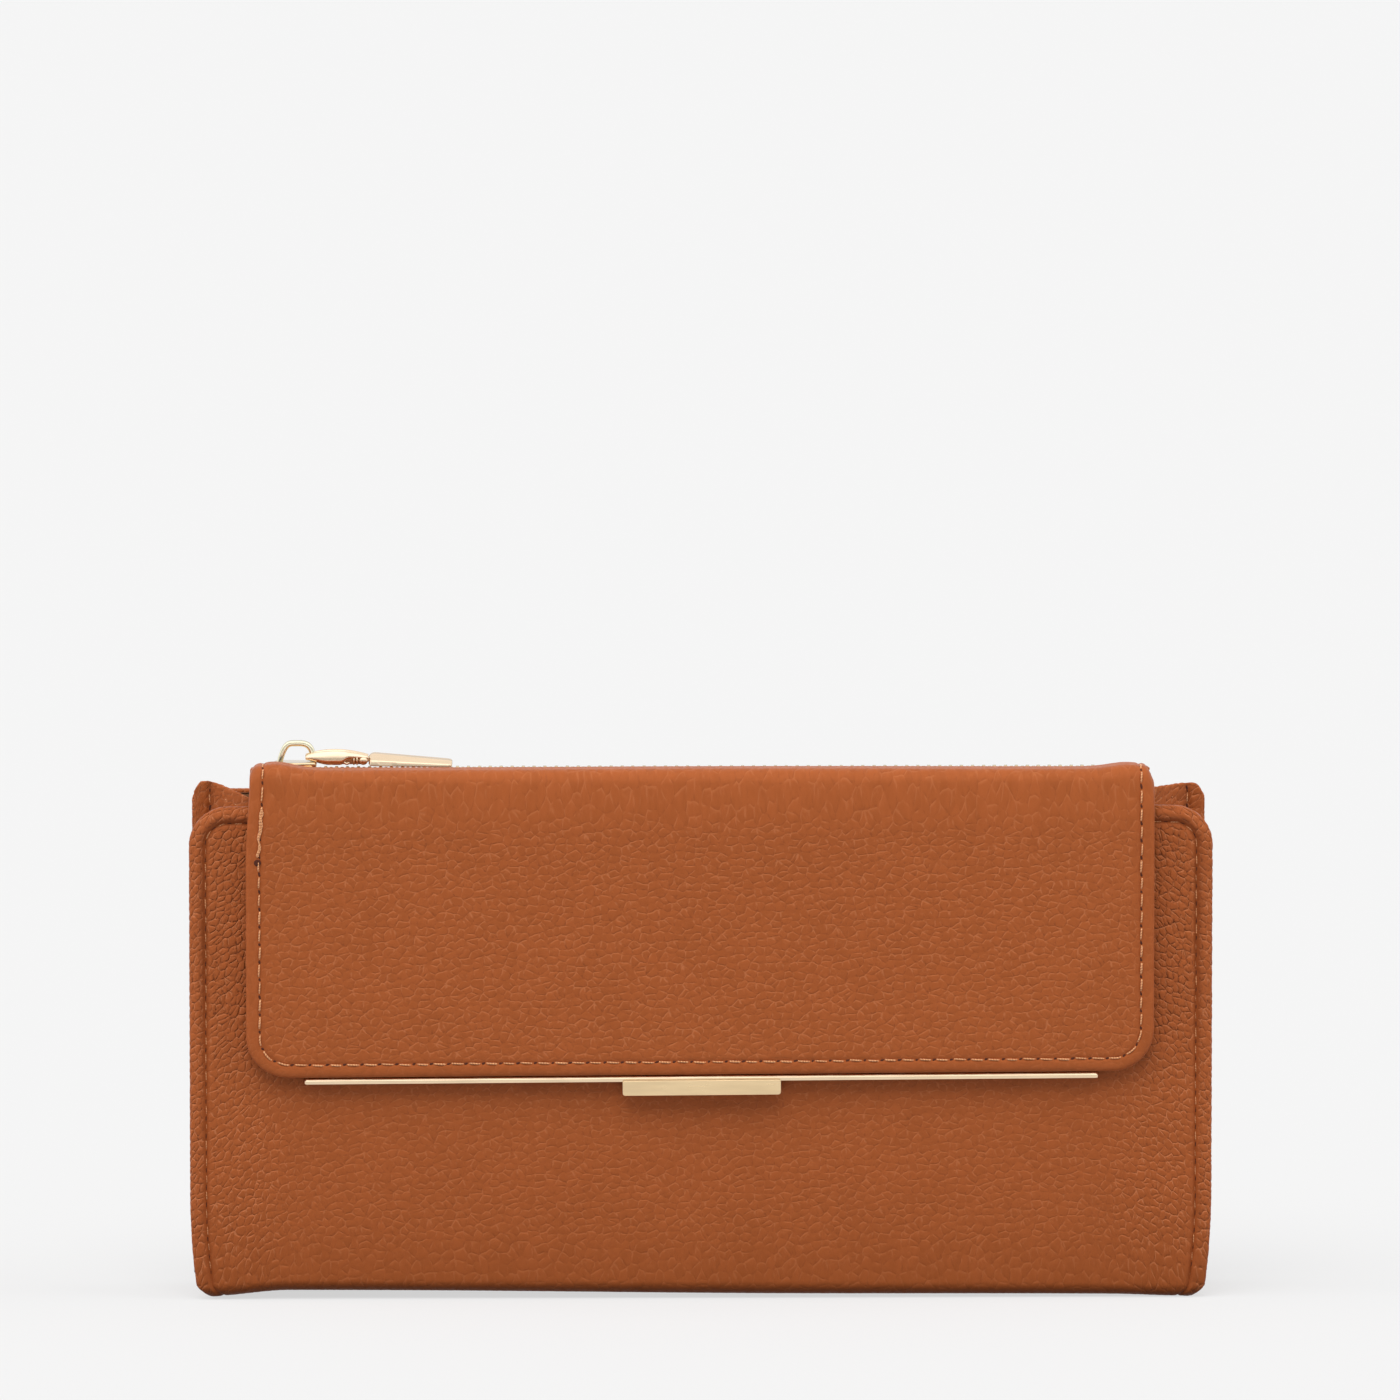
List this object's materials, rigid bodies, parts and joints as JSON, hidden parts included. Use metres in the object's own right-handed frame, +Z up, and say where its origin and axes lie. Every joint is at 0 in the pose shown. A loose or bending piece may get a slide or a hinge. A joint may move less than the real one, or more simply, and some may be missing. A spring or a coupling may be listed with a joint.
{
  "type": "long wallet",
  "caption": "Long flap wallet with side gussets, card pockets, a central zipped coin pouch, gold trim and a magnetic snap.",
  "frame": {"origin": "middle of the base's underside, where the closed wallet stands", "axes": "+X along the wallet, -Y out of the front, where the flap hangs, +Z up"},
  "size_m": [0.195, 0.0292, 0.1061],
  "materials": {
    "leather": "pebbled, satin",
    "inner_leather": "smooth, matt",
    "lining_cloth": "twill",
    "board": "bonded fibre board, cut edges",
    "padding": "needled felt",
    "tape": "woven zip tape",
    "gold": "pale gold plate, polished",
    "steel": "plain"
  },
  "bodies": {
    "root": {"base_leather": "leather", "base_board": "board", "base_lining": "inner_leather", "pouch_front_wall": "leather", "pouch_rear_wall": "leather", "pouch_floor": "leather", "coin_lining": "lining_cloth", "gusset_left_front_leaf": "leather", "gusset_left_rear_leaf": "leather", "gusset_right_front_leaf": "leather", "gusset_right_rear_leaf": "leather", "gusset_left_middle": "leather", "gusset_right_middle": "leather", "zip_tape_front": "tape", "zip_tape_rear": "tape", "zip_teeth_front": "gold", "zip_teeth_rear": "gold", "zip_top_stops": "gold", "zip_bottom_stop": "gold", "zip_tab_left": "leather", "zip_tab_right": "leather", "flap_seam_strip": "leather", "zip_rear_binding": "leather"},
    "front_panel": {"front_panel_leather": "leather", "front_panel_board": "board", "front_panel_padding": "padding", "front_panel_lining": "inner_leather", "card_pocket_1": "inner_leather", "card_pocket_2": "inner_leather", "card_pocket_3": "inner_leather", "card_pocket_4": "inner_leather", "snap_cup": "gold", "snap_magnet": "steel", "snap_washer": "steel"},
    "back_panel": {"back_panel_leather": "leather", "back_panel_board": "board", "back_panel_padding": "padding", "back_panel_lining": "inner_leather", "slip_pocket_tall": "inner_leather", "slip_pocket_short": "inner_leather"},
    "flap_roll": {"roll_leather": "leather", "roll_lining": "inner_leather"},
    "flap": {"flap_leather": "leather", "flap_board": "board", "flap_lining": "inner_leather", "trim_bar": "gold", "trim_tab": "gold", "trim_rivets": "gold", "snap_stud": "gold"},
    "slider": {"slider_body": "gold", "slider_bail": "gold"},
    "link": {"pull_link": "gold"},
    "pull": {"pull_bar": "gold"}
  },
  "joints": [
    {"name": "flap_roll_hinge", "type": "hinge", "parent": "root", "child": "flap_roll", "pos_m": [0, -0.0067, 0.1014], "axis": [-1, 0, 0], "range_deg": [0, 90]},
    {"name": "flap_hinge", "type": "hinge", "parent": "flap_roll", "child": "flap", "pos_m": [0, -0.0161, 0.0933], "axis": [-1, 0, 0], "range_deg": [0, 90]},
    {"name": "front_panel_open", "type": "hinge", "parent": "root", "child": "front_panel", "pos_m": [0, -0.0122, 0.00445], "axis": [1, 0, 0], "range_deg": [0, 6], "deforming": ["gusset_left_front_leaf", "gusset_right_front_leaf"]},
    {"name": "back_panel_open", "type": "hinge", "parent": "root", "child": "back_panel", "pos_m": [0, 0.0122, 0.00445], "axis": [-1, 0, 0], "range_deg": [0, 6], "stiffness_Nm_per_rad": 0.1, "deforming": ["gusset_left_rear_leaf", "gusset_right_rear_leaf"]},
    {"name": "zip_slide", "type": "slide", "parent": "root", "child": "slider", "axis": [1, 0, 0], "range_m": [0, 0.152], "deforming": ["zip_teeth_front", "zip_teeth_rear"]},
    {"name": "pull_link_hinge", "type": "hinge", "parent": "slider", "child": "link", "pos_m": [-0.075, 0, 0.1029], "axis": [0, -1, 0], "range_deg": [0, 150]},
    {"name": "pull_bar_hinge", "type": "hinge", "parent": "link", "child": "pull", "pos_m": [-0.0661, 0, 0.1024], "axis": [0, -1, 0], "range_deg": [0, 12]}
  ],
  "couplings": [
    {"joint": "flap_hinge", "follows": "flap_roll_hinge", "ratio": 1},
    {"joint": "front_panel_open", "follows": "flap_roll_hinge", "ratio": 0.0666}
  ]
}
